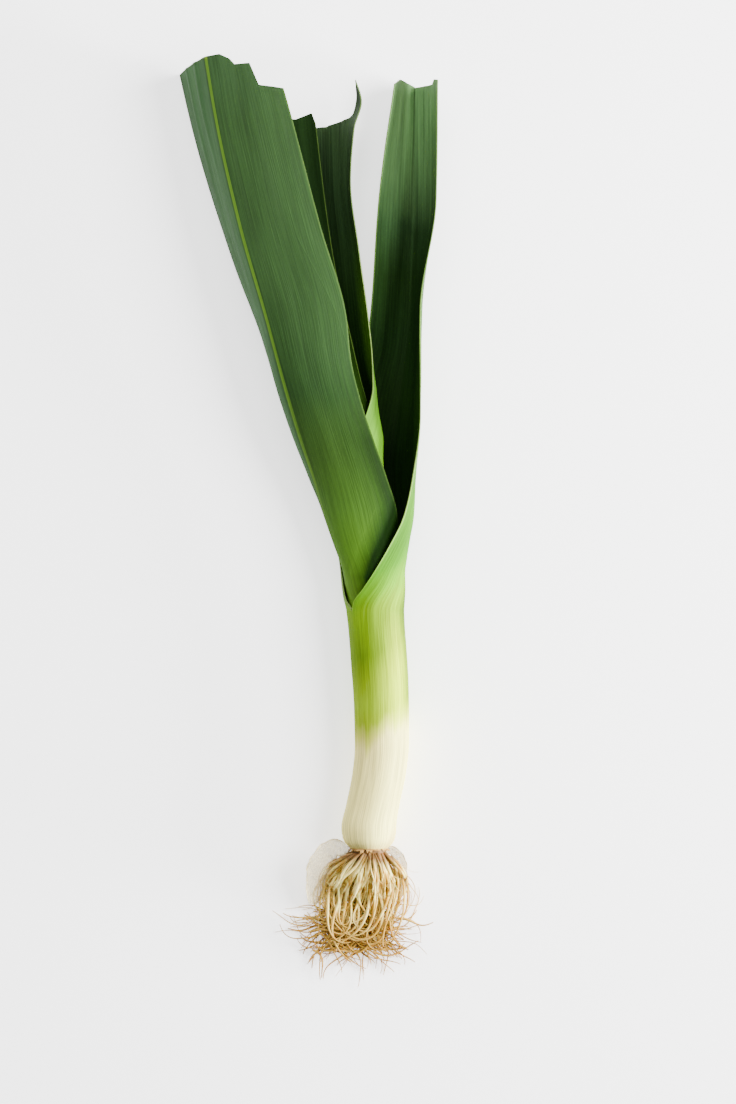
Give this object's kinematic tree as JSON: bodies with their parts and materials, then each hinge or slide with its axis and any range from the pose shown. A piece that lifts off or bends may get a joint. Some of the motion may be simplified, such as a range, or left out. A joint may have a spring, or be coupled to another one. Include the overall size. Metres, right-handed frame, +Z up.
{
  "type": "leek",
  "caption": "Whole leek lying on its side: root tuft, white shaft turning green, and cut fan of folded leaves.",
  "frame": {"origin": "on the table, under the middle of the plant's bounding box", "axes": "+Y along the plant from the roots towards the cut leaf ends, +Z up off the table"},
  "size_m": [0.1434, 0.4989, 0.0408],
  "materials": {
    "root": "matt cream to straw coloured root fibre, brown at the base plate",
    "outer_leaf": "smooth satin leaf, white below, yellow green along the shaft, dark green blade, fine ribs along it",
    "green_leaf": "satin dark blue-green leaf with a pale keel line and fine ribs along it",
    "young_leaf": "satin pale yellow-green young leaf"
  },
  "bodies": {
    "root": {"root_tuft": "root", "leaf_1": "outer_leaf", "leaf_2": "green_leaf", "leaf_3": "green_leaf", "leaf_4": "green_leaf", "leaf_5": "young_leaf", "heart_leaf": "young_leaf"}
  },
  "joints": []
}
